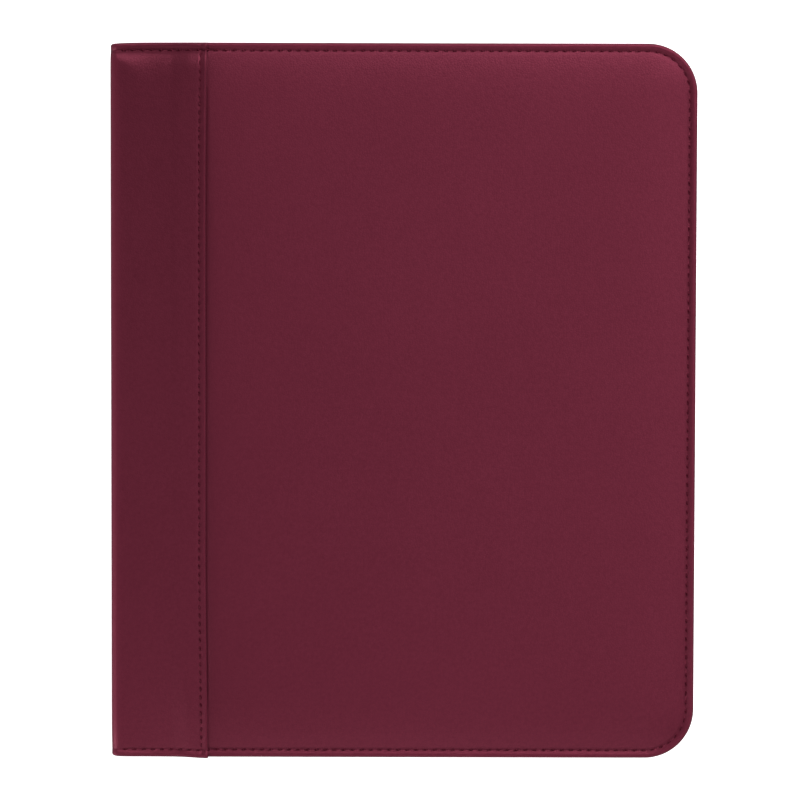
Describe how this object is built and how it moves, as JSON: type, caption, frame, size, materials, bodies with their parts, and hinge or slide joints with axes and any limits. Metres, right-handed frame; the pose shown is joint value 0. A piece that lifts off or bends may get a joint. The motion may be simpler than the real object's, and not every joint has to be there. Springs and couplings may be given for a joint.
{
  "type": "padfolio",
  "caption": "Closed letter-size padfolio with padded leatherette covers, a stitched spine strip, rounded free corners, a writing pad, pockets and a pen loop.",
  "frame": {"origin": "centre of the footprint on the surface that the back cover lies on", "axes": "+Z through the thickness from the back cover to the front cover, +Y up the front cover, +X from the spine to the free edge"},
  "size_m": [0.249, 0.305, 0.025],
  "materials": {
    "leatherette": "satin, fine grain",
    "lining": "matte",
    "thread": "matte",
    "greyboard": "matte",
    "foam": "matte",
    "paper": "matte",
    "tape": "matte",
    "elastic": "matte",
    "film": "clear"
  },
  "bodies": {
    "back_cover": {"back_skin": "leatherette", "back_spine_strip": "leatherette", "back_foam": "foam", "back_strip_foam": "foam", "back_board": "greyboard", "back_lining": "lining", "back_edge_thread": "thread", "back_seam_thread": "thread", "pad_pocket": "leatherette", "pad_pocket_hem_left": "leatherette", "pad_pocket_hem_right": "leatherette", "pad_pocket_hem_foot": "leatherette"},
    "spine": {"spine_strip": "leatherette", "spine_board": "greyboard", "spine_lining": "lining"},
    "front_cover": {"front_skin": "leatherette", "front_spine_strip": "leatherette", "front_foam": "foam", "front_strip_foam": "foam", "front_board": "greyboard", "front_lining": "lining", "front_edge_thread": "thread", "front_seam_thread": "thread", "papers_pocket": "leatherette", "papers_pocket_hem_left": "leatherette", "papers_pocket_hem_right": "leatherette", "papers_pocket_hem_foot": "leatherette", "card_slot_1": "leatherette", "card_slot_2": "leatherette", "card_slot_3": "leatherette", "id_window": "film", "pen_loop": "elastic"},
    "pad": {"pad_backing": "greyboard", "pad_sheets": "paper", "pad_tape": "tape", "pad_tape_end": "tape"}
  },
  "joints": [
    {"name": "spine_fold", "type": "hinge", "parent": "back_cover", "child": "spine", "pos_m": [-0.1241, 0, 0.0004], "axis": [0, -1, 0], "range_deg": [0, 90]},
    {"name": "cover_fold", "type": "hinge", "parent": "spine", "child": "front_cover", "pos_m": [-0.1241, 0, 0.0246], "axis": [0, -1, 0], "range_deg": [0, 90]},
    {"name": "pad_slide", "type": "slide", "parent": "back_cover", "child": "pad", "axis": [0, 1, 0], "range_m": [0, 0.14]}
  ]
}
